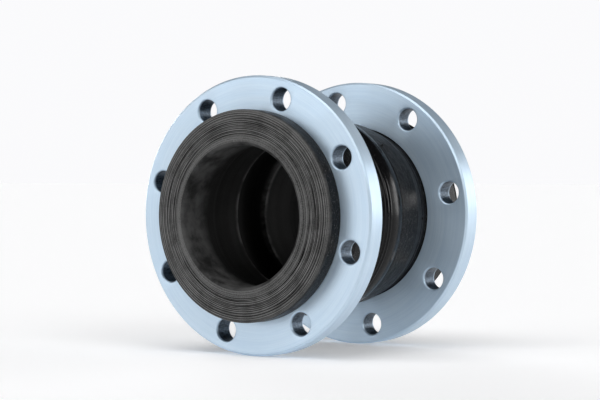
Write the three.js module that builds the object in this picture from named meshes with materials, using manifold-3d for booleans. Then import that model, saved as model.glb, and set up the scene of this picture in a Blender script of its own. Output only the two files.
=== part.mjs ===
// A single-sphere rubber expansion joint, nominal bore 150 mm, with two loose steel flanges.
//
// Millimetres, +Z up. The pipe axis is Y, with the origin in the middle of the bellows. The front end
// is at -Y and the rear end at +Y. Each half is built once, towards +Y, and the front half is the same
// half turned about Z. Profiles are pairs [r, s]: r is the radius from the pipe axis, and s the
// distance from the middle of the bellows.
//
// The bellows is three layers, liner, cord and cover, cut into zones along the axis: two arch halves,
// two shoulders and two collars. The zones leave a seam gap where the rubber flexes.

import * as THREE from "three";
import { mergeVertices } from "three/addons/utils/BufferGeometryUtils.js";
import Module from "manifold-3d";

const wasm = await Module();
wasm.setup();

// ---- Driving dimensions ----

const GAP = 0.3; // between neighbouring pieces
const ROUND_SEGMENTS = 32; // round the bellows
const FLANGE_SEGMENTS = 64;
const HOLE_SEGMENTS = 16;

const FLANGE = {
  radius: 140,
  bore: 92,
  inner: 80, // distance of its inner face from the middle
  thickness: 22,
  rimChamfer: 2,
  boreChamfer: 3,
};
const BOLTS = { count: 8, circleRadius: 120, holeRadius: 11.5 };
const REAR_HOLE_ANGLE = 10.89; // degrees from +X towards +Z
const FRONT_HOLE_ANGLE = 28.64;

const CROWN = { outer: 105.5, inner: 91 }; // radii of the arch at its middle
// Corners of the wall as [r, s]: where the arch's arc ends, the throat, and where the neck begins.
const ARCH_FOOT = { outer: [98.2, 21.5], inner: [77.5, 24] };
const THROAT = { outer: [96.6, 55], inner: [75, 66.5] };
const NECK_END = { outer: [91, 75], inner: [70.5, 86] };
const LAYER_SHARE = { liner: 0.3, cord: 0.65 }; // how far each layer reaches into the wall

const COLLAR = { radius: 105.7, edge: 121.5, clearance: 0.4 };
const SEAL_FACE = { outer: 95, inner: 83, s: 123.2 }; // the flat ring that seals
const LIP = { crestRadius: 76.5, s: 125.2, rounding: 4 }; // the raised edge round the bore
const BEAD = { circleRadius: 95.5, s: 110.8, radius: 4.2, wrap: 2.3 };

const ARCH_SEAM = 39.5; // where the arch half ends and the shoulder starts
const SHOULDER_SEAM = 66.5; // where the shoulder ends and the collar starts

const flangeOuter = FLANGE.inner + FLANGE.thickness;

// ---- Materials ----

const steelPaint = new THREE.MeshStandardMaterial({ color: 0xc6d4e2, roughness: 0.4, metalness: 0.5 });
const beadSteel = new THREE.MeshStandardMaterial({ color: 0x8b8d90, roughness: 0.35, metalness: 0.9 });
const coverRubber = new THREE.MeshStandardMaterial({ color: 0x17191b, roughness: 0.35, metalness: 0 });
const linerRubber = new THREE.MeshStandardMaterial({ color: 0x3c3f41, roughness: 0.6, metalness: 0 });
const tyreCord = new THREE.MeshStandardMaterial({ color: 0x6d6247, roughness: 0.8, metalness: 0 });

// ---- Shape tools ----

const radians = THREE.MathUtils.degToRad;

function mesh(name, geometry, material) {
  const made = new THREE.Mesh(geometry, material);
  made.name = name;
  return made;
}

// A ring of the closed profile [[r, s], ...], given either way round.
// The half-segment start puts flats, not corners, on the X and Z axes.
function ring(profile, segments) {
  const points = profile.map(([r, s]) => new THREE.Vector2(r, s));
  if (THREE.ShapeUtils.area(points) < 0) points.reverse();
  points.push(points[0]);
  return new THREE.LatheGeometry(points, segments, Math.PI / segments);
}

// A point on a circle about [r, s], at an angle in degrees from +r towards +s.
function onCircle([r, s], radius, degrees) {
  const angle = radians(degrees);
  return [r + radius * Math.cos(angle), s + radius * Math.sin(angle)];
}

function arc(centre, radius, from, to, steps) {
  return Array.from({ length: steps + 1 }, (_, i) =>
    onCircle(centre, radius, from + ((to - from) * i) / steps),
  );
}

function solidOf(geometry) {
  const bare = geometry.clone();
  bare.deleteAttribute("normal");
  bare.deleteAttribute("uv");
  const merged = mergeVertices(bare, 1e-3);
  return new wasm.Manifold(
    new wasm.Mesh({
      numProp: 3,
      vertProperties: merged.attributes.position.array,
      triVerts: new Uint32Array(merged.index.array),
    }),
  );
}

function geometryOf(solid) {
  const { vertProperties, triVerts } = solid.getMesh();
  const made = new THREE.BufferGeometry();
  made.setAttribute("position", new THREE.BufferAttribute(vertProperties, 3));
  made.setIndex(new THREE.BufferAttribute(triVerts, 1));
  made.computeVertexNormals();
  return made;
}

// ---- The bellows wall ----

// Radius of the wall's outer or inner side: an arc over the arch, then straight stretches.
function sideRadius(crown, corners, s) {
  const [footRadius, foot] = corners[0];
  if (s <= foot) {
    const drop = crown - footRadius;
    const bend = (foot ** 2 + drop ** 2) / (2 * drop);
    return crown - bend + Math.sqrt(bend ** 2 - s ** 2);
  }
  const next = corners.findIndex(([, corner]) => corner > s);
  if (next < 0) return corners.at(-1)[0];
  const [fromRadius, from] = corners[next - 1];
  const [toRadius, to] = corners[next];
  return fromRadius + ((toRadius - fromRadius) * (s - from)) / (to - from);
}

const innerCorners = [ARCH_FOOT.inner, THROAT.inner, NECK_END.inner];
const outerCorners = [ARCH_FOOT.outer, THROAT.outer, NECK_END.outer];

// Radius at a share of the wall, 0 on the inside and 1 on the outside.
function wallRadius(share, s) {
  const inner = sideRadius(CROWN.inner, innerCorners, s);
  const outer = sideRadius(CROWN.outer, outerCorners, s);
  return inner + share * (outer - inner);
}

const LAYERS = {
  liner: { low: (s) => wallRadius(0, s), high: (s) => wallRadius(LAYER_SHARE.liner, s) - GAP / 2 },
  cord: {
    low: (s) => wallRadius(LAYER_SHARE.liner, s) + GAP / 2,
    high: (s) => wallRadius(LAYER_SHARE.cord, s) - GAP / 2,
  },
  cover: { low: (s) => wallRadius(LAYER_SHARE.cord, s) + GAP / 2, high: (s) => wallRadius(1, s) },
};

// A zone of one layer: out along its outside and back along its inside, through the stations in s.
function zoneRing(layer, stations) {
  const outside = stations.map((s) => [layer.high(s), s]);
  const inside = stations.map((s) => [layer.low(s), s]).reverse();
  return ring([...inside, ...outside], ROUND_SEGMENTS);
}

const archStations = [GAP / 2, 8, 16, ARCH_FOOT.outer[1], ARCH_FOOT.inner[1], ARCH_SEAM - GAP / 2];
const shoulderStations = [ARCH_SEAM + GAP / 2, THROAT.outer[1], SHOULDER_SEAM - GAP / 2];
// From the neck down to the shoulder seam, as the collar pieces run.
const neckStations = [NECK_END.inner[1], NECK_END.outer[1], SHOULDER_SEAM + GAP / 2];

// ---- The collar ----

const beadCentre = [BEAD.circleRadius, BEAD.s];
const cordHole = BEAD.radius + GAP;
const cordOutside = cordHole + BEAD.wrap;
const cordTop = BEAD.s + cordOutside;
const faceUnderside = cordTop + GAP;

// The liner: bore, rounded lip, flat sealing ring, and the face falling back to the collar's edge.
function linerCollar() {
  const { low, high } = LAYERS.liner;
  const wallOutside = high(flangeOuter);
  const lipCentre = [NECK_END.inner[0] + LIP.rounding, LIP.s - LIP.rounding];
  return ring(
    [
      [wallOutside, faceUnderside],
      ...neckStations.map((s) => [high(s), s]),
      ...neckStations.map((s) => [low(s), s]).reverse(),
      ...arc(lipCentre, LIP.rounding, 180, 90, 3),
      [LIP.crestRadius, LIP.s],
      [SEAL_FACE.inner, SEAL_FACE.s],
      [SEAL_FACE.outer, SEAL_FACE.s],
      [COLLAR.radius, COLLAR.edge],
      [COLLAR.radius, faceUnderside],
    ],
    ROUND_SEGMENTS,
  );
}

const HOOK_ROOT = 225; // degrees round the bead where the cord reaches it
const HOOK_END = -120; // where the turned-up cord stops, short of its own root

// The cord: up the neck, over the face side of the bead ring, round it and back, open by a slit.
function cordCollar() {
  const { low, high } = LAYERS.cord;
  const neckInside = low(flangeOuter);
  const neckOutside = high(flangeOuter);
  const rootOuter = onCircle(beadCentre, cordOutside, HOOK_ROOT);
  const flare = rootOuter[0] - neckOutside;
  return ring(
    [
      ...neckStations.map((s) => [low(s), s]).reverse(),
      [neckInside, cordTop - BEAD.wrap],
      [neckInside + BEAD.wrap, cordTop],
      ...arc(beadCentre, cordOutside, 90, -90, 4),
      onCircle(beadCentre, cordOutside, HOOK_END),
      onCircle(beadCentre, cordHole, HOOK_END),
      ...arc(beadCentre, cordHole, -90, HOOK_ROOT, 7),
      rootOuter,
      [neckOutside, rootOuter[1] - flare],
      ...neckStations.map((s) => [high(s), s]),
    ],
    ROUND_SEGMENTS,
  );
}

// The cover: arch edge, neck, back of the collar and its side, closed round the cord.
function coverCollar() {
  const { low, high } = LAYERS.cover;
  const neckInside = low(flangeOuter);
  const [cordRootRadius, cordRootS] = onCircle(beadCentre, cordOutside, HOOK_ROOT);
  const root = [cordRootRadius + GAP, cordRootS - GAP];
  const flare = root[0] - neckInside;
  const back = flangeOuter + COLLAR.clearance;
  const backInner = FLANGE.bore + FLANGE.boreChamfer - COLLAR.clearance;
  return ring(
    [
      ...neckStations.map((s) => [high(s), s]),
      ...neckStations.map((s) => [low(s), s]).reverse(),
      [neckInside, root[1] - flare],
      root,
      onCircle(beadCentre, cordOutside + GAP, HOOK_END),
      ...arc(beadCentre, cordOutside + GAP, -90, 0, 2),
      [BEAD.circleRadius + cordOutside + GAP, cordTop],
      [COLLAR.radius, cordTop],
      [COLLAR.radius, back],
      [backInner, back],
      [NECK_END.outer[0], back - (backInner - NECK_END.outer[0])],
    ],
    ROUND_SEGMENTS,
  );
}

function beadRing() {
  return ring(arc(beadCentre, BEAD.radius, 0, 315, 7), ROUND_SEGMENTS);
}

// ---- The flange ----

function flangeBlank() {
  const rim = FLANGE.radius / Math.cos(Math.PI / FLANGE_SEGMENTS); // so that its flats reach the radius
  const chamfer = FLANGE.rimChamfer;
  return ring(
    [
      [FLANGE.bore, FLANGE.inner],
      [FLANGE.bore, flangeOuter - FLANGE.boreChamfer],
      [FLANGE.bore + FLANGE.boreChamfer, flangeOuter],
      [rim - chamfer, flangeOuter],
      [rim, flangeOuter - chamfer],
      [rim, FLANGE.inner + chamfer],
      [rim - chamfer, FLANGE.inner],
    ],
    FLANGE_SEGMENTS,
  );
}

function flangeWithHoles(firstHoleAngle) {
  let solid = solidOf(flangeBlank());
  for (let i = 0; i < BOLTS.count; i += 1) {
    const angle = radians(firstHoleAngle + (360 * i) / BOLTS.count);
    const drill = new THREE.CylinderGeometry(
      BOLTS.holeRadius,
      BOLTS.holeRadius,
      2 * FLANGE.thickness,
      HOLE_SEGMENTS,
    );
    drill.translate(
      BOLTS.circleRadius * Math.cos(angle),
      (FLANGE.inner + flangeOuter) / 2,
      BOLTS.circleRadius * Math.sin(angle),
    );
    solid = solid.subtract(solidOf(drill));
  }
  return geometryOf(solid);
}

// ---- Assembly ----

const LAYER_MATERIAL = { liner: linerRubber, cord: tyreCord, cover: coverRubber };
const COLLAR_SHAPE = { liner: linerCollar, cord: cordCollar, cover: coverCollar };

function half(end, firstHoleAngle) {
  const group = new THREE.Group();
  for (const [layer, material] of Object.entries(LAYER_MATERIAL)) {
    group.add(
      mesh(`${end}_arch_${layer}`, zoneRing(LAYERS[layer], archStations), material),
      mesh(`${end}_shoulder_${layer}`, zoneRing(LAYERS[layer], shoulderStations), material),
      mesh(`${end}_collar_${layer}`, COLLAR_SHAPE[layer](), material),
    );
  }
  group.add(
    mesh(`${end}_bead_ring`, beadRing(), beadSteel),
    mesh(`${end}_flange`, flangeWithHoles(firstHoleAngle), steelPaint),
  );
  return group;
}

const rear = half("rear", REAR_HOLE_ANGLE);
const front = half("front", 180 - FRONT_HOLE_ANGLE);
front.rotation.z = Math.PI;

const expansionJoint = new THREE.Group();
expansionJoint.add(rear, front);

export default expansionJoint;
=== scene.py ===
"""A single-sphere rubber expansion joint with two loose steel flanges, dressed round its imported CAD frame.

The pipe axis is Y, with the origin in the middle of the bellows. Profiles are pairs (radius, y) in
millimetres. Each half is drawn once for the rear end, towards +Y, and mirrored for the front end.
"""

import math

import bmesh
import bpy
import numpy as np
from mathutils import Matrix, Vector


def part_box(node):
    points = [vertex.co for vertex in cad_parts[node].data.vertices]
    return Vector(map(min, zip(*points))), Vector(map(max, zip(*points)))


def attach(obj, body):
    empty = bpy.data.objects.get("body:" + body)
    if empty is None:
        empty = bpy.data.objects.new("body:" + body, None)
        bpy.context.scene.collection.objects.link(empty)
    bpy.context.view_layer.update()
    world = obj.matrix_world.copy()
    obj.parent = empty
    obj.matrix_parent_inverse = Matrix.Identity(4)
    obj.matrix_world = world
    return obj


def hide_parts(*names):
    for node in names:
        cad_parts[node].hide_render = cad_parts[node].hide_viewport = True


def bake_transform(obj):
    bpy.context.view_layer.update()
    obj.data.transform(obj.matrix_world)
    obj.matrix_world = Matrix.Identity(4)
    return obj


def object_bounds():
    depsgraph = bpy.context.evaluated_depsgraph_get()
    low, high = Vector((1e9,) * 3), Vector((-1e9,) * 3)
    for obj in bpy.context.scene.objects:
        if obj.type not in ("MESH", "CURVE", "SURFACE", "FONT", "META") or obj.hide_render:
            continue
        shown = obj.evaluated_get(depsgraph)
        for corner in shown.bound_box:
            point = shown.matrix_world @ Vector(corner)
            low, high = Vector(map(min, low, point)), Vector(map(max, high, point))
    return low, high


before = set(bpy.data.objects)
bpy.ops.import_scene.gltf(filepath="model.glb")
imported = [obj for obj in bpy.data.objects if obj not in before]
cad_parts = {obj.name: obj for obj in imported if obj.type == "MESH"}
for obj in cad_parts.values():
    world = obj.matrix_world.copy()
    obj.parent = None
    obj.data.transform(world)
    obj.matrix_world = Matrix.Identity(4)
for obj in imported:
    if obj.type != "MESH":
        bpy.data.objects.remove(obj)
cad_low, cad_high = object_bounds()

# ---- Driving dimensions, in millimetres ----

MM = 0.001
REAR, FRONT = 1, -1
ENDS = {"rear": REAR, "front": FRONT}

flange_low, flange_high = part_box("rear_flange")
FLANGE_RADIUS = flange_high.x / MM
FLANGE_INNER = flange_low.y / MM  # distance of its inner face from the middle
FLANGE_OUTER = flange_high.y / MM
FLANGE_BORE = 92
BORE_CHAMFER = 3
RIM_CHAMFER = 2
EDGE_ROUNDING = 0.4
HOLE_COUNT = 8
HOLE_CIRCLE = 120
HOLE_RADIUS = 11.5
HOLE_ROUNDING = 1.8  # the softened edge round each hole
FIRST_HOLE = {"rear": 10.89, "front": 28.64}  # degrees from +X towards +Z

CROWN = {"outer": 105.5, "inner": 91}  # radii of the arch at its middle
# Corners of the wall as (radius, distance from the middle): the arch's foot, the throat, the neck.
CORNERS = {"outer": [(98.2, 21.5), (96.6, 55), (91, 75)], "inner": [(77.5, 24), (75, 66.5), (70.5, 86)]}
NECK = {side: corners[-1][0] for side, corners in CORNERS.items()}
NECK_START = CORNERS["inner"][-1][1]
LAYER_SHARE = {"liner": 0.3, "cord": 0.65}  # how far each layer reaches into the wall
PLY_GAP = 0.1

COLLAR_RADIUS = 105.7
COLLAR_CLEARANCE = 0.4
COLLAR_EDGE = 121.5
SEAL_OUTER, SEAL_S = 95, 123.2
SEAL_INNER = 83
CREST_RADIUS, CREST_S = 76.5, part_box("rear_collar_liner")[1].y / MM
LIP_ROUNDING = 4
BEAD = {"circle": 95.5, "s": 110.8, "radius": 4.2, "wrap": 2.3}
COVER_TOP = BEAD["s"] + BEAD["radius"] + BEAD["wrap"] + 0.4  # where cover and liner meet

# The flexing zones of the wall: name, y where each starts and ends, and the bodies it joins.
ZONES = [
    ("rear_neck", 80, 53, "rear_collar", "rear_shoulder", "rear_shoulder"),
    ("rear_shoulder", 53, 26, "rear_shoulder", "rear_arch", "rear_arch"),
    ("crown", 26, -26, "rear_arch", "front_arch", "front_arch"),
    ("front_shoulder", -26, -53, "front_arch", "front_shoulder", "front_arch"),
    ("front_neck", -53, -80, "front_shoulder", "front_collar", "front_shoulder"),
]

SKIN_SEGMENTS = 288
COLLAR_SEGMENTS = 360
INSIDE_SEGMENTS = 192
FLANGE_SEGMENTS = 256
PLATE_SHARP = 8  # degrees between faces above which a flange's edge is drawn sharp


# ---- Mesh tools ----

def new_mesh(name, points, faces, material, sharp=30):
    """A smooth-shaded mesh from points in millimetres, sharp where faces meet at over `sharp` degrees.
    Its rest attribute keeps each point's place, so that patterns bend with the rubber."""
    mesh = bpy.data.meshes.new(name)
    mesh.from_pydata((np.asarray(points) * MM).tolist(), [], faces)
    mesh.materials.append(material)
    rest = mesh.attributes.new("rest", "FLOAT_VECTOR", "POINT")
    rest.data.foreach_set("vector", np.asarray(points, np.float32).ravel())
    mesh.shade_smooth()
    mesh.set_sharp_from_angle(angle=math.radians(sharp))
    made = bpy.data.objects.new(name, mesh)
    bpy.context.scene.collection.objects.link(made)
    return made


def ring(name, profile, material, angles, relief=None, sharp=30):
    """A closed ring about the pipe axis from a closed profile. `relief` may move its points:
    it takes arrays of radius, y and angle and gives back radius and y."""
    profile = np.asarray(profile, float)
    following = np.roll(profile, -1, axis=0)
    area = np.sum(profile[:, 0] * following[:, 1] - following[:, 0] * profile[:, 1])
    if area < 0:
        profile = profile[::-1]
    radius = np.repeat(profile[:, 0:1], len(angles), axis=1)
    along = np.repeat(profile[:, 1:2], len(angles), axis=1)
    turn = np.repeat(angles[None, :], len(profile), axis=0)
    if relief:
        radius, along = relief(radius, along, turn)
    points = np.stack([radius * np.cos(turn), along, radius * np.sin(turn)], axis=-1)
    rows, columns = len(profile), len(angles)
    faces = [
        (
            i * columns + j,
            (i + 1) % rows * columns + j,
            (i + 1) % rows * columns + (j + 1) % columns,
            i * columns + (j + 1) % columns,
        )
        for i in range(rows)
        for j in range(columns)
    ]
    return new_mesh(name, points.reshape(-1, 3), faces, material, sharp)


def even_angles(segments):
    return np.arange(segments) * 2 * math.pi / segments


def arc(centre, radius, start, end, steps):
    """Points on a circle about (radius, y), from one angle in degrees to another."""
    turns = np.radians(np.linspace(start, end, steps + 1))
    return [(centre[0] + radius * math.cos(t), centre[1] + radius * math.sin(t)) for t in turns]


def mirrored(profile, end):
    return [(r, y * end) for r, y in profile]


def wander(angle, seed, highest=9):
    """A smooth random curve round the axis, mostly from -1 to 1."""
    rng = np.random.default_rng(seed)
    waves = range(1, highest + 1)
    curve = sum(rng.normal() * np.sin(k * angle + rng.uniform(0, 2 * math.pi)) for k in waves)
    return curve / math.sqrt(highest)


def bump(x, width):
    """1 at x = 0, falling smoothly to 0 over a few widths."""
    return np.exp(-((x / width) ** 2))


# ---- Material tools ----

class Shade:
    """One material's node tree, with short calls for what the materials here use."""

    def __init__(self, name, **constants):
        self.material = bpy.data.materials.new(name)
        self.material.use_nodes = True
        self.nodes = self.material.node_tree.nodes
        self.links = self.material.node_tree.links
        self.shader = self.nodes["Principled BSDF"]
        for socket, value in constants.items():
            self.shader.inputs[socket.replace("_", " ")].default_value = value
        place = self.nodes.new("ShaderNodeAttribute")
        place.attribute_name = "rest"
        self.place = place.outputs["Vector"]
        split = self.nodes.new("ShaderNodeSeparateXYZ")
        self.links.new(self.place, split.inputs[0])
        self.x, self.y, self.z = split.outputs
        squares = self.sum(self.maths("MULTIPLY", self.x, self.x), self.maths("MULTIPLY", self.z, self.z))
        self.radius = self.maths("SQRT", squares)

    def put(self, socket, value):
        if isinstance(value, bpy.types.NodeSocket):
            self.links.new(value, socket)
        else:
            socket.default_value = value

    def maths(self, operation, *values, clamp=False):
        node = self.nodes.new("ShaderNodeMath")
        node.operation = operation
        node.use_clamp = clamp
        for socket, value in zip(node.inputs, values):
            self.put(socket, value)
        return node.outputs[0]

    def sum(self, *values):
        total = values[0]
        for value in values[1:]:
            total = self.maths("ADD", total, value)
        return total

    def times(self, a, b):
        return self.maths("MULTIPLY", a, b)

    def vector(self, x, y, z):
        node = self.nodes.new("ShaderNodeCombineXYZ")
        for socket, value in zip(node.inputs, (x, y, z)):
            self.put(socket, value)
        return node.outputs[0]

    def round_place(self, turns, radial, axial):
        """Coordinates that run round the axis: `turns` sets the detail along the circle, the other
        two the detail per millimetre of radius and of y."""
        across = self.maths("DIVIDE", self.x, self.radius)
        upward = self.maths("DIVIDE", self.z, self.radius)
        spread = self.sum(self.times(self.radius, radial), self.times(self.y, axial))
        return self.vector(self.times(across, turns), self.times(upward, turns), spread)

    def noise(self, place, scale, detail=2, roughness=0.5, distortion=0):
        node = self.nodes.new("ShaderNodeTexNoise")
        self.put(node.inputs["Vector"], place)
        node.inputs["Scale"].default_value = scale
        node.inputs["Detail"].default_value = detail
        node.inputs["Roughness"].default_value = roughness
        node.inputs["Distortion"].default_value = distortion
        return node.outputs[0]

    def between(self, value, low, high, to_low=0.0, to_high=1.0, smooth=True):
        node = self.nodes.new("ShaderNodeMapRange")
        node.interpolation_type = "SMOOTHSTEP" if smooth else "LINEAR"
        for socket, number in zip(node.inputs, (value, low, high, to_low, to_high)):
            self.put(socket, number)
        return node.outputs[0]

    def mix(self, share, first, second):
        node = self.nodes.new("ShaderNodeMix")
        node.data_type = "RGBA"
        for index, value in ((0, share), (6, first), (7, second)):
            self.put(node.inputs[index], value)
        return node.outputs[2]

    def finish(self, colour, roughness, height, distance):
        """Wires colour, roughness and a bump of that height in metres, and gives the material."""
        self.put(self.shader.inputs["Base Color"], colour)
        self.put(self.shader.inputs["Roughness"], roughness)
        raised = self.nodes.new("ShaderNodeBump")
        raised.inputs["Distance"].default_value = distance
        self.put(raised.inputs["Height"], height)
        self.put(self.shader.inputs["Normal"], raised.outputs[0])
        return self.material


# ---- Materials ----

def turned_steel():
    """Pale blue zinc over turned steel: fine rings, soft clouds, and a few darker smudges."""
    shade = Shade("turned_steel", Metallic=0.5)
    fine = shade.noise(shade.round_place(1.2, 1.1, 1.3), 2.2, 3, 0.65)
    wide = shade.noise(shade.round_place(0.8, 0.16, 0.2), 1.6, 2)
    clouds = shade.noise(shade.place, 0.016, 3, 0.6)
    grain = shade.noise(shade.place, 0.9, 2, 0.6)
    tone = shade.sum(shade.times(fine, 0.45), shade.times(wide, 0.25), shade.times(clouds, 0.3))
    colour = shade.mix(
        shade.between(tone, 0.36, 0.64), (0.51, 0.65, 0.79, 1), (0.61, 0.74, 0.86, 1)
    )
    wear = shade.sum(shade.times(fine, 0.5), shade.times(clouds, 0.5))
    roughness = shade.between(wear, 0.3, 0.7, 0.34, 0.52)
    return shade.finish(colour, roughness, shade.sum(fine, shade.times(grain, 0.3)), 0.00006)


def drilled_steel():
    """The drilled wall of a bolt hole, streaked along the hole; painted shade makes it dark blue in the
    middle of the hole, with the plate's colour near the faces.
    """
    shade = Shade("drilled_steel", Metallic=0.6)
    streaks = shade.noise(shade.vector(shade.x, shade.times(shade.y, 0.12), shade.z), 1.1, 3, 0.7)
    chatter = shade.noise(shade.place, 0.35, 2)
    tone = shade.sum(shade.times(streaks, 0.7), shade.times(chatter, 0.3))
    # Painted shade: the dark blue wall colour stands for the shade deep inside the hole.
    shaded_wall_colour = shade.mix(shade.between(tone, 0.35, 0.65), (0.02, 0.033, 0.048, 1), (0.13, 0.18, 0.24, 1))
    middle = (FLANGE_INNER + FLANGE_OUTER) / 2
    depth = shade.maths("ABSOLUTE", shade.maths("SUBTRACT", shade.maths("ABSOLUTE", shade.y), middle))
    half = (FLANGE_OUTER - FLANGE_INNER) / 2
    # The painted shade fades out towards the faces, where the wall takes the plate's colour.
    colour = shade.mix(shade.between(depth, half - 3.5, half - 0.6), shaded_wall_colour, (0.56, 0.70, 0.84, 1))
    roughness = shade.between(streaks, 0.3, 0.7, 0.3, 0.5)
    return shade.finish(colour, roughness, tone, 0.0002)


def cover_rubber():
    """Glossy black moulded rubber, rougher and dusty on the shoulders beyond the creases."""
    shade = Shade("cover_rubber")
    shade.shader.inputs["Specular IOR Level"].default_value = 0.13
    mottle = shade.noise(shade.round_place(9, 0.1, 0.16), 1.4, 4, 0.6)
    specks = shade.noise(shade.place, 0.55, 3, 0.65)
    beyond = shade.between(shade.maths("ABSOLUTE", shade.y), 19, 25)
    dust = shade.times(shade.between(specks, 0.56, 0.7), shade.sum(shade.times(beyond, 0.9), 0.1))
    colour = shade.mix(dust, (0.004, 0.004, 0.0045, 1), (0.11, 0.11, 0.11, 1))
    roughness = shade.sum(
        shade.between(mottle, 0.35, 0.7, 0.13, 0.24), shade.times(beyond, 0.16), shade.times(dust, 0.3)
    )
    uneven = shade.times(mottle, shade.sum(shade.times(beyond, 0.9), 0.1))
    height = shade.sum(uneven, shade.times(specks, 0.15))
    return shade.finish(colour, roughness, height, 0.0006)


# Radii of painted dark lines round the sealing face, which stand for the shade in its fine grooves; a
# painted highlight runs just outside each.
GROOVE_SHADE_RADII = (81.8, 83.2, 84.6, 86.6, 89.5, 91.0, 92.8, 94.4, 96.8, 99.3, 101.6)


def liner_rubber():
    """Matt dark grey rubber, dressed to fine rings on the sealing face, with painted shade in its grooves
    and painted highlights on their edges; in the bore, bloom, with painted light on the front neck and a
    painted highlight at the inner corners.
    """
    shade = Shade("liner_rubber")
    shade.shader.inputs["Specular IOR Level"].default_value = 0.12
    rings = shade.noise(shade.round_place(0.14, 0.95, 0), 1.0, 5, 0.72)
    bloom = shade.noise(shade.place, 0.05, 4, 0.6)
    grain = shade.noise(shade.place, 1.1, 2, 0.7)
    tone = shade.sum(shade.times(rings, 0.7), shade.times(bloom, 0.1), shade.times(grain, 0.2))
    turned = shade.between(shade.radius, 80.5, 82)
    worn = shade.times(shade.between(tone, 0.39, 0.61), shade.between(turned, 0, 1, 1.25, 1))
    wobbly = shade.sum(shade.radius, shade.times(shade.noise(shade.place, 0.02, 3), 1.2), -0.6)
    # Painted shade: a dark line at each groove radius.
    lines = 0.0
    for i, line in enumerate(GROOVE_SHADE_RADII):
        away = shade.maths("ABSOLUTE", shade.maths("SUBTRACT", wobbly, line))
        lines = shade.sum(lines, shade.between(away, 0.15, 0.5, 1 if i % 2 else 0.7, 0))
    groove_shade = shade.times(shade.between(shade.maths("MINIMUM", lines, 1), 0, 1), turned)
    # Painted highlights: a light line along the outer edge of each groove.
    groove_edge_highlights = 0.0
    for line in GROOVE_SHADE_RADII:
        away = shade.maths("ABSOLUTE", shade.maths("SUBTRACT", wobbly, line + 0.75))
        groove_edge_highlights = shade.sum(groove_edge_highlights, shade.between(away, 0.1, 0.4, 0.6, 0))
    groove_edge_highlights = shade.times(groove_edge_highlights, shade.between(bloom, 0.35, 0.6, 0.3, 1))
    height_above = shade.maths("ABSOLUTE", shade.y)
    face = shade.times(shade.between(height_above, 120.3, 121.2), shade.between(shade.radius, 72.5, 75))
    # Painted highlight: a light band at the inner corners of the arch, where the wall catches the light.
    corner = shade.times(shade.between(height_above, 20, 24), shade.between(height_above, 25, 30, 1, 0))
    # Painted light: the front neck of the bore is lighter where the light falls, broken up by bloom; the
    # rear neck and the cavity keep the rubber's near-black.
    bore_painted_light = shade.sum(shade.times(shade.between(shade.y, -100, -80, 1, 0), 0.7), shade.times(corner, 1.2))
    bore_painted_light_patches = shade.times(bore_painted_light, shade.between(bloom, 0.3, 0.7, 0.1, 0.75))
    bore_tone_and_painted_light = shade.mix(bore_painted_light_patches, (0.003, 0.003, 0.003, 1), (0.13, 0.13, 0.13, 1))
    dressed = shade.mix(worn, (0.009, 0.009, 0.009, 1), (0.145, 0.145, 0.144, 1))
    # Painted highlights along the groove edges, laid over the face colour.
    dressed = shade.mix(groove_edge_highlights, dressed, (0.30, 0.30, 0.30, 1))
    # Painted shade in the grooves, laid over the face colour.
    dressed = shade.mix(groove_shade, dressed, (0.002, 0.002, 0.002, 1))
    roughness = shade.sum(shade.between(tone, 0.3, 0.7, 0.62, 0.42), shade.between(face, 0, 1, 0.25, 0))
    height = shade.sum(shade.times(rings, shade.times(face, turned)), shade.times(grain, 0.35))
    return shade.finish(shade.mix(face, bore_tone_and_painted_light, dressed), roughness, height, 0.0004)


def tyre_cord():
    """Rubberised tyre cord: two crossed sets of dark tan yarns."""
    shade = Shade("tyre_cord", Roughness=0.85)
    turn = shade.maths("ARCTAN2", shade.z, shade.x)
    lean = shade.times(shade.y, 0.9)
    yarns = [
        shade.maths("SINE", shade.sum(shade.times(turn, 180), shade.times(lean, sign)))
        for sign in (2, -2)
    ]
    weave = shade.maths("MAXIMUM", *yarns)
    fuzz = shade.noise(shade.place, 0.8, 3, 0.7)
    tone = shade.sum(shade.times(weave, 0.35), shade.times(fuzz, 0.6))
    colour = shade.mix(shade.between(tone, 0, 0.8), (0.03, 0.026, 0.02, 1), (0.17, 0.14, 0.09, 1))
    roughness = shade.between(fuzz, 0.3, 0.7, 0.75, 0.9)
    return shade.finish(colour, roughness, weave, 0.0004)


def bead_steel():
    """Bare drawn steel of the bead hoops, with faint drawing lines and a little stain."""
    shade = Shade("bead_steel", Metallic=1.0)
    lines = shade.noise(shade.round_place(1, 2, 2), 1.4, 3, 0.6)
    stain = shade.noise(shade.place, 0.08, 3)
    colour = shade.mix(shade.between(stain, 0.4, 0.7), (0.42, 0.42, 0.43, 1), (0.24, 0.21, 0.18, 1))
    roughness = shade.between(lines, 0.3, 0.7, 0.25, 0.42)
    return shade.finish(colour, roughness, lines, 0.00008)


STEEL, DRILLED, COVER = turned_steel(), drilled_steel(), cover_rubber()
LINER, CORD, BEAD_STEEL = liner_rubber(), tyre_cord(), bead_steel()
LAYER_LOOKS = {
    "liner": (LINER, "rubber_liner"),
    "cord": (CORD, "tyre_cord"),
    "cover": (COVER, "rubber_cover"),
}


# ---- The bellows wall ----

def side_radius(side, s):
    """Radius of the wall's outer or inner side at a distance s from the middle: an arc over the
    arch, then straight stretches."""
    s = np.abs(s)
    radii, places = zip(*CORNERS[side])
    drop = CROWN[side] - radii[0]
    bend = (places[0] ** 2 + drop**2) / (2 * drop)
    over = CROWN[side] - bend + np.sqrt(bend**2 - np.minimum(s, places[0]) ** 2)
    return np.where(s <= places[0], over, np.interp(s, places, radii))


def wall(share, s):
    return side_radius("inner", s) + share * (side_radius("outer", s) - side_radius("inner", s))


LAYERS = {
    "liner": (0, LAYER_SHARE["liner"]),
    "cord": (LAYER_SHARE["liner"], LAYER_SHARE["cord"]),
    "cover": (LAYER_SHARE["cord"], 1),
}


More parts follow.
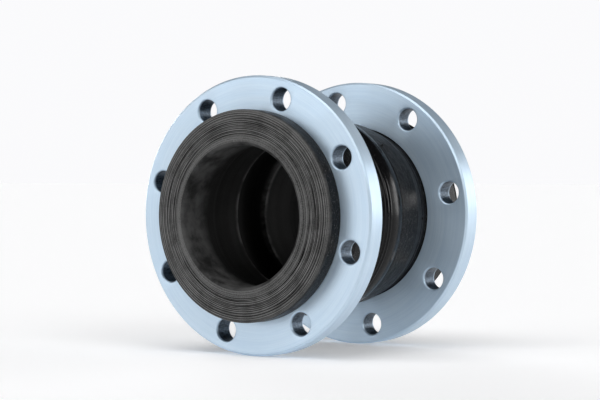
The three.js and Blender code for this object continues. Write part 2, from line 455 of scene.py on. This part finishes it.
def layer_side(layer, side, s):
    """Radius of a layer's inside (0) or outside (1), with the ply gap where layers meet."""
    share = LAYERS[layer][side]
    inset = 0 if share in (0, 1) else PLY_GAP / 2
    return wall(share, s) + (inset if side == 0 else -inset)


# Ridges that the mould left on the cover: place along y, width and height.
COVER_RIDGES = [(-17, 1.2, 0.55), (-13, 0.7, 0.6), (-9.5, 0.8, 0.4), (69.5, 0.6, 0.5)]
PARTING_Y = 21.5
# Flash nubs on the cover: degrees round the axis, y and height.
NUBS = [(1.8, 22, 1.3), (25.5, 21, 1.3), (47, 32, 2.0), (0.5, -13, 0.9), (-2.8, 69.5, 1.1)]
NUB_WIDTH = 0.9


def cover_relief(radius, y, turn):
    """Adds the mould's ridges, parting line and flash nubs to the outside of the cover."""
    outside = radius > wall(0.9, y)
    raised = sum(height * bump(y - place, width) for place, width, height in COVER_RIDGES)
    line = PARTING_Y + 0.5 * wander(turn, 4, 5)
    raised = raised + 0.35 * bump(y - line + 1.6, 0.7) - 0.9 * bump(y - line, 0.8)
    raised = raised + 0.12 * wander(turn, 7, 24) * bump(y - 44, 20)
    for degrees, place, height in NUBS:
        away = np.angle(np.exp(1j * (turn - math.radians(degrees)))) * radius
        raised = raised + height * bump(np.hypot(away, y - place), NUB_WIDTH)
    return radius + np.where(outside, raised, 0), y


def cover_angles():
    """Even angles with closer ones at the nubs."""
    steps = np.radians(np.linspace(-1.4, 1.4, 15))
    close = [math.radians(degrees) + steps for degrees, _, _ in NUBS]
    every = np.concatenate([even_angles(SKIN_SEGMENTS), *close]) % (2 * math.pi)
    every = np.sort(every)
    keep = np.diff(every, prepend=every[-1] - 2 * math.pi) > math.radians(0.12)
    return every[keep]


COVER_ANGLES = cover_angles()


def zone_profile(layer, start, end, fine, coarse):
    """Down the outside of one layer from start to end, and back up its inside."""
    fine_step, coarse_step = (math.ceil(abs(end - start) / step) for step in (fine, coarse))
    outward = np.linspace(start, end, fine_step + 1)
    back = np.linspace(end, start, coarse_step + 1)
    outside = [(layer_side(layer, 1, y), y) for y in outward]
    inside = [(layer_side(layer, 0, y), y) for y in back]
    return outside + inside


def build_zones():
    for name, start, end, first, second, stands_for in ZONES:
        for layer, (material, slot) in LAYER_LOOKS.items():
            title = f"{name}_{layer}_wall"
            if layer == "cover":
                profile = zone_profile(layer, start, end, 0.6, 4)
                made = ring(title, profile, material, COVER_ANGLES, cover_relief, sharp=50)
            elif layer == "liner":
                profile = zone_profile(layer, end, start, 4, 1)
                made = ring(title, profile, material, even_angles(SKIN_SEGMENTS), sharp=50)
            else:
                profile = zone_profile(layer, start, end, 3, 3)
                made = ring(title, profile, material, even_angles(INSIDE_SEGMENTS), sharp=50)
            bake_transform(made)
            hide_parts(f"{stands_for}_{layer}")
            if name == "crown":
                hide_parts(f"rear_arch_{layer}")


# ---- The collars ----

# Grooves in the sealing face: radius, half width, depth.
GROOVES = [(96.8, 0.7, 1.3), (92.6, 0.6, 1.1), (89.5, 0.55, 0.9), (84.3, 0.65, 1.3), (81.4, 0.6, 1.0)]


def face_height(radius):
    """The sealing face before its grooves: it rises from the collar's edge to a flat ring, then to
    the lip's crest."""
    corners = (
        (CREST_RADIUS, CREST_S),
        (SEAL_INNER, SEAL_S),
        (SEAL_OUTER, SEAL_S),
        (COLLAR_RADIUS, COLLAR_EDGE),
    )
    return np.interp(radius, *zip(*corners))


def face_relief(end):
    """Cuts the grooves, which wander a little and fade in and out round the face."""

    def relief(radius, y, turn):
        on_face = (np.abs(y) > COLLAR_EDGE - 1.2) & (radius > CREST_RADIUS - 1)
        cut = 0
        for i, (place, width, depth) in enumerate(GROOVES):
            seed = 20 + i + 10 * end
            middle = place + 0.3 * wander(turn, seed, 5)
            fading = np.clip(0.75 + 0.45 * wander(turn, seed + 40, 12), 0.15, 1.2)
            cut = cut + depth * fading * bump(radius - middle, width)
            cut = cut - 0.25 * fading * bump(radius - middle - 2.2 * width, width)
        cut = cut + 0.1 * wander(turn, 90, 9) * bump(radius - 101, 3)
        return radius, y - end * np.where(on_face, cut, 0)

    return relief


def liner_collar():
    rim = [(COLLAR_RADIUS, COVER_TOP), (COLLAR_RADIUS, COLLAR_EDGE - 1.6)]
    rim += arc((COLLAR_RADIUS - 1.6, COLLAR_EDGE - 1.6), 1.6, 10, 80, 5)
    face = [(r, face_height(r)) for r in np.arange(COLLAR_RADIUS - 2, CREST_RADIUS, -0.28)]
    lip = arc((NECK["inner"] + LIP_ROUNDING, CREST_S - LIP_ROUNDING), LIP_ROUNDING, 90, 180, 10)
    bore_places = np.linspace(CREST_S - LIP_ROUNDING - 1, FLANGE_INNER, 30)
    bore = [(layer_side("liner", 0, s), s) for s in bore_places]
    back = [(layer_side("liner", 1, s), s) for s in (FLANGE_INNER, NECK_START, COVER_TOP)]
    return rim + face + lip + bore + back


def cord_collar():
    """Up the neck, over the bead, round it and back, open by a slit."""
    centre = (BEAD["circle"], BEAD["s"])
    hole = BEAD["radius"] + PLY_GAP
    skin = hole + BEAD["wrap"]
    top = COVER_TOP - PLY_GAP
    inside = [(layer_side("cord", 0, s), s) for s in (FLANGE_INNER, NECK_START, top - BEAD["wrap"])]
    inside.append((inside[-1][0] + BEAD["wrap"], top))
    outer = arc(centre, skin, 90, -120, 24)
    hole_side = arc(centre, hole, -120, 225, 36)
    root = arc(centre, skin, 225, 225, 1)[0]
    neck = layer_side("cord", 1, NECK_START)
    flare = root[0] - neck
    outside = [
        root,
        (neck, root[1] - flare),
        (neck, NECK_START),
        (layer_side("cord", 1, FLANGE_INNER), FLANGE_INNER),
    ]
    return inside + outer + hole_side + outside


def cover_collar():
    """The neck, the collar's back against the flange and its side, closed round the cord."""
    centre = (BEAD["circle"], BEAD["s"])
    skin = BEAD["radius"] + BEAD["wrap"] + 2 * PLY_GAP
    back = FLANGE_OUTER + COLLAR_CLEARANCE
    back_inner = FLANGE_BORE + BORE_CHAMFER - COLLAR_CLEARANCE
    neck_in = layer_side("cover", 0, NECK_START)
    root = arc(centre, skin, 225, 225, 1)[0]
    inside = [
        (layer_side("cover", 0, FLANGE_INNER), FLANGE_INNER),
        (neck_in, NECK_START),
        (neck_in, root[1] - (root[0] - neck_in)),
        root,
    ]
    round_cord = arc(centre, skin, -125, 0, 16)
    side = [(BEAD["circle"] + skin, COVER_TOP), (COLLAR_RADIUS, COVER_TOP), (COLLAR_RADIUS, back + 1.2)]
    heel = arc((COLLAR_RADIUS - 1.2, back + 1.2), 1.2, 0, -90, 5)
    throat = [(back_inner, back), (NECK["outer"], back - (back_inner - NECK["outer"]))]
    throat += [(NECK["outer"], s) for s in (92, FLANGE_INNER)]
    return inside + round_cord + side + heel + throat


def build_collars():
    for end, sign in ENDS.items():
        body = f"{end}_collar"
        parts = {
            "liner": ring(
                f"{end}_collar_liner_face", mirrored(liner_collar(), sign), LINER,
                even_angles(COLLAR_SEGMENTS), face_relief(sign),
            ),
            "cord": ring(
                f"{end}_collar_cord_hook", mirrored(cord_collar(), sign), CORD,
                even_angles(INSIDE_SEGMENTS),
            ),
            "cover": ring(
                f"{end}_collar_cover_back", mirrored(cover_collar(), sign), COVER,
                even_angles(SKIN_SEGMENTS),
            ),
        }
        for layer, piece in parts.items():
            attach(piece, body)
            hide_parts(f"{end}_collar_{layer}")
        section = arc((BEAD["circle"], BEAD["s"]), BEAD["radius"], 0, 345, 23)
        hoop = ring(
            f"{end}_bead_hoop", mirrored(section, sign), BEAD_STEEL, even_angles(INSIDE_SEGMENTS)
        )
        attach(hoop, body)
        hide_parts(f"{end}_bead_ring")


# ---- The flanges ----

def flange_profile():
    """The plate's section: bore, outer face, rim and inner face, with each edge chamfered and eased."""
    c, e = RIM_CHAMFER, EDGE_ROUNDING
    return [
        (FLANGE_BORE, FLANGE_INNER + e),
        (FLANGE_BORE, FLANGE_OUTER - BORE_CHAMFER),
        (FLANGE_BORE + BORE_CHAMFER, FLANGE_OUTER),
        (FLANGE_RADIUS - c - e, FLANGE_OUTER),
        (FLANGE_RADIUS - c + e / 2, FLANGE_OUTER - e / 3),
        (FLANGE_RADIUS - e / 3, FLANGE_OUTER - c + e / 2),
        (FLANGE_RADIUS, FLANGE_OUTER - c - e),
        (FLANGE_RADIUS, FLANGE_INNER + c + e),
        (FLANGE_RADIUS - e / 3, FLANGE_INNER + c - e / 2),
        (FLANGE_RADIUS - c + e / 2, FLANGE_INNER + e / 3),
        (FLANGE_RADIUS - c - e, FLANGE_INNER),
        (FLANGE_BORE + e, FLANGE_INNER),
    ]


def drill(first_degrees, sign):
    """One mesh of eight drills, each flared at both faces to ease the edge of its hole."""
    low, high = FLANGE_INNER, FLANGE_OUTER
    r, e = HOLE_RADIUS, HOLE_ROUNDING
    section = [(r + e, low - 2), (r + e, low)]
    section += arc((r + e, low + e), e, 270, 180, 6)[1:]
    section += arc((r + e, high - e), e, 180, 90, 6)
    section += [(r + e, high + 2)]
    segments = 64
    turns = even_angles(segments)
    points, faces = [], []
    for hole in range(HOLE_COUNT):
        angle = math.radians(first_degrees) + hole * 2 * math.pi / HOLE_COUNT
        x, z = HOLE_CIRCLE * math.cos(angle), HOLE_CIRCLE * math.sin(angle)
        base = len(points)
        points += [
            (x + radius * math.cos(t), s * sign, z + radius * math.sin(t))
            for radius, s in section
            for t in turns
        ]
        for row in range(len(section) - 1):
            for j in range(segments):
                a, b = base + row * segments + j, base + row * segments + (j + 1) % segments
                faces.append((a, a + segments, b + segments, b))
        last = base + (len(section) - 1) * segments
        faces.append(tuple(base + j for j in range(segments)))
        faces.append(tuple(last + j for j in reversed(range(segments))))
    made = new_mesh("drill", points, faces, DRILLED)
    outward(made)
    return made


def outward(obj):
    """Turns the faces of a closed mesh to point out."""
    bm = bmesh.new()
    bm.from_mesh(obj.data)
    bmesh.ops.recalc_face_normals(bm, faces=bm.faces)
    bm.to_mesh(obj.data)
    bm.free()


def apply_modifiers(obj):
    """Replaces an object's mesh by its mesh with modifiers applied."""
    graph = bpy.context.evaluated_depsgraph_get()
    final = bpy.data.meshes.new_from_object(obj.evaluated_get(graph))
    obj.modifiers.clear()
    obj.data = final


def build_flanges():
    for end, sign in ENDS.items():
        plate = ring(
            f"{end}_flange_plate", mirrored(flange_profile(), sign), STEEL,
            even_angles(FLANGE_SEGMENTS), sharp=PLATE_SHARP,
        )
        outward(plate)
        cutter = drill(FIRST_HOLE[end], sign)
        cut = plate.modifiers.new("holes", "BOOLEAN")
        cut.operation, cut.object, cut.solver = "DIFFERENCE", cutter, "EXACT"
        cut.material_mode = "TRANSFER"
        apply_modifiers(plate)
        bpy.data.objects.remove(cutter)
        mesh = plate.data
        points = np.array([v.co for v in mesh.vertices], np.float32) / MM
        rest = mesh.attributes.get("rest") or mesh.attributes.new("rest", "FLOAT_VECTOR", "POINT")
        rest.data.foreach_set("vector", points.astype(np.float32).ravel())
        mesh.shade_smooth()
        mesh.set_sharp_from_angle(angle=math.radians(PLATE_SHARP))
        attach(plate, f"{end}_flange")
        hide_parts(f"{end}_flange")


build_zones()
build_collars()
build_flanges()


# ---- Stage, light and camera, in metres ----

def soft_lamp(name, azimuth, elevation, radiance, width=32):
    """A far, round soft light, placed by its direction in degrees: azimuth from +X towards +Y."""
    light = bpy.data.lights.new(name, "SUN")
    light.angle = math.radians(width)
    light.energy = radiance * math.pi * math.sin(light.angle / 2) ** 2
    made = bpy.data.objects.new(name, light)
    bpy.context.scene.collection.objects.link(made)
    around, up = math.radians(azimuth), math.radians(elevation)
    from_lamp = -Vector((math.cos(around) * math.cos(up), math.sin(around) * math.cos(up), math.sin(up)))
    made.rotation_euler = from_lamp.to_track_quat("-Z", "Y").to_euler()


def build_floor():
    mesh = bpy.data.meshes.new("floor")
    half, level = 60, cad_low.z
    corners = [(-half, -half, level), (half, -half, level), (half, half, level), (-half, half, level)]
    mesh.from_pydata(corners, [], [(0, 1, 2, 3)])
    material = bpy.data.materials.new("floor")
    material.use_nodes = True
    shader = material.node_tree.nodes["Principled BSDF"]
    shader.inputs["Base Color"].default_value = (0.93, 0.93, 0.94, 1)
    shader.inputs["Roughness"].default_value = 0.9
    shader.inputs["Specular IOR Level"].default_value = 0
    shader.inputs["Emission Color"].default_value = (1, 1, 1, 1)
    shader.inputs["Emission Strength"].default_value = 0.2
    mesh.materials.append(material)
    made = bpy.data.objects.new("floor", mesh)
    bpy.context.scene.collection.objects.link(made)


def build_world():
    """A white backdrop to the eye that lights nothing: the lamps do all of the lighting."""
    world = bpy.data.worlds.new("studio")
    bpy.context.scene.world = world
    world.use_nodes = True
    world.node_tree.nodes["Background"].inputs["Color"].default_value = (0.96, 0.96, 0.975, 1)
    world.cycles_visibility.diffuse = False
    world.cycles_visibility.glossy = False


CAMERA_AZIMUTH = math.radians(35.06)
CAMERA_ELEVATION = math.radians(0.627)


def build_camera():
    data = bpy.data.cameras.new("camera")
    data.sensor_width, data.lens = 36, 114.5
    camera = bpy.data.objects.new("camera", data)
    camera.location = (1.1298, -1.6304, 0.0366)
    forward = Vector(
        (
            -math.sin(CAMERA_AZIMUTH) * math.cos(CAMERA_ELEVATION),
            math.cos(CAMERA_AZIMUTH) * math.cos(CAMERA_ELEVATION),
            -math.sin(CAMERA_ELEVATION),
        )
    )
    camera.rotation_euler = forward.to_track_quat("-Z", "Y").to_euler()
    bpy.context.scene.collection.objects.link(camera)
    bpy.context.scene.camera = camera


build_floor()
build_world()
soft_lamp("front_left", -120, 8, 2.9)
soft_lamp("front_left_high", -120, 58, 2.6)
soft_lamp("fill_high", -60, 58, 2.1)
soft_lamp("key_right", -22, 32, 3.8)
soft_lamp("right_low", 35, 8, 1.6)
soft_lamp("back_right", 60, 10, 4.5, width=24)
soft_lamp("backdrop_glow", 140, 8, 7.5)
soft_lamp("overhead", 0, 88, 2.6)
build_camera()
bpy.context.scene.view_settings.view_transform = "Standard"
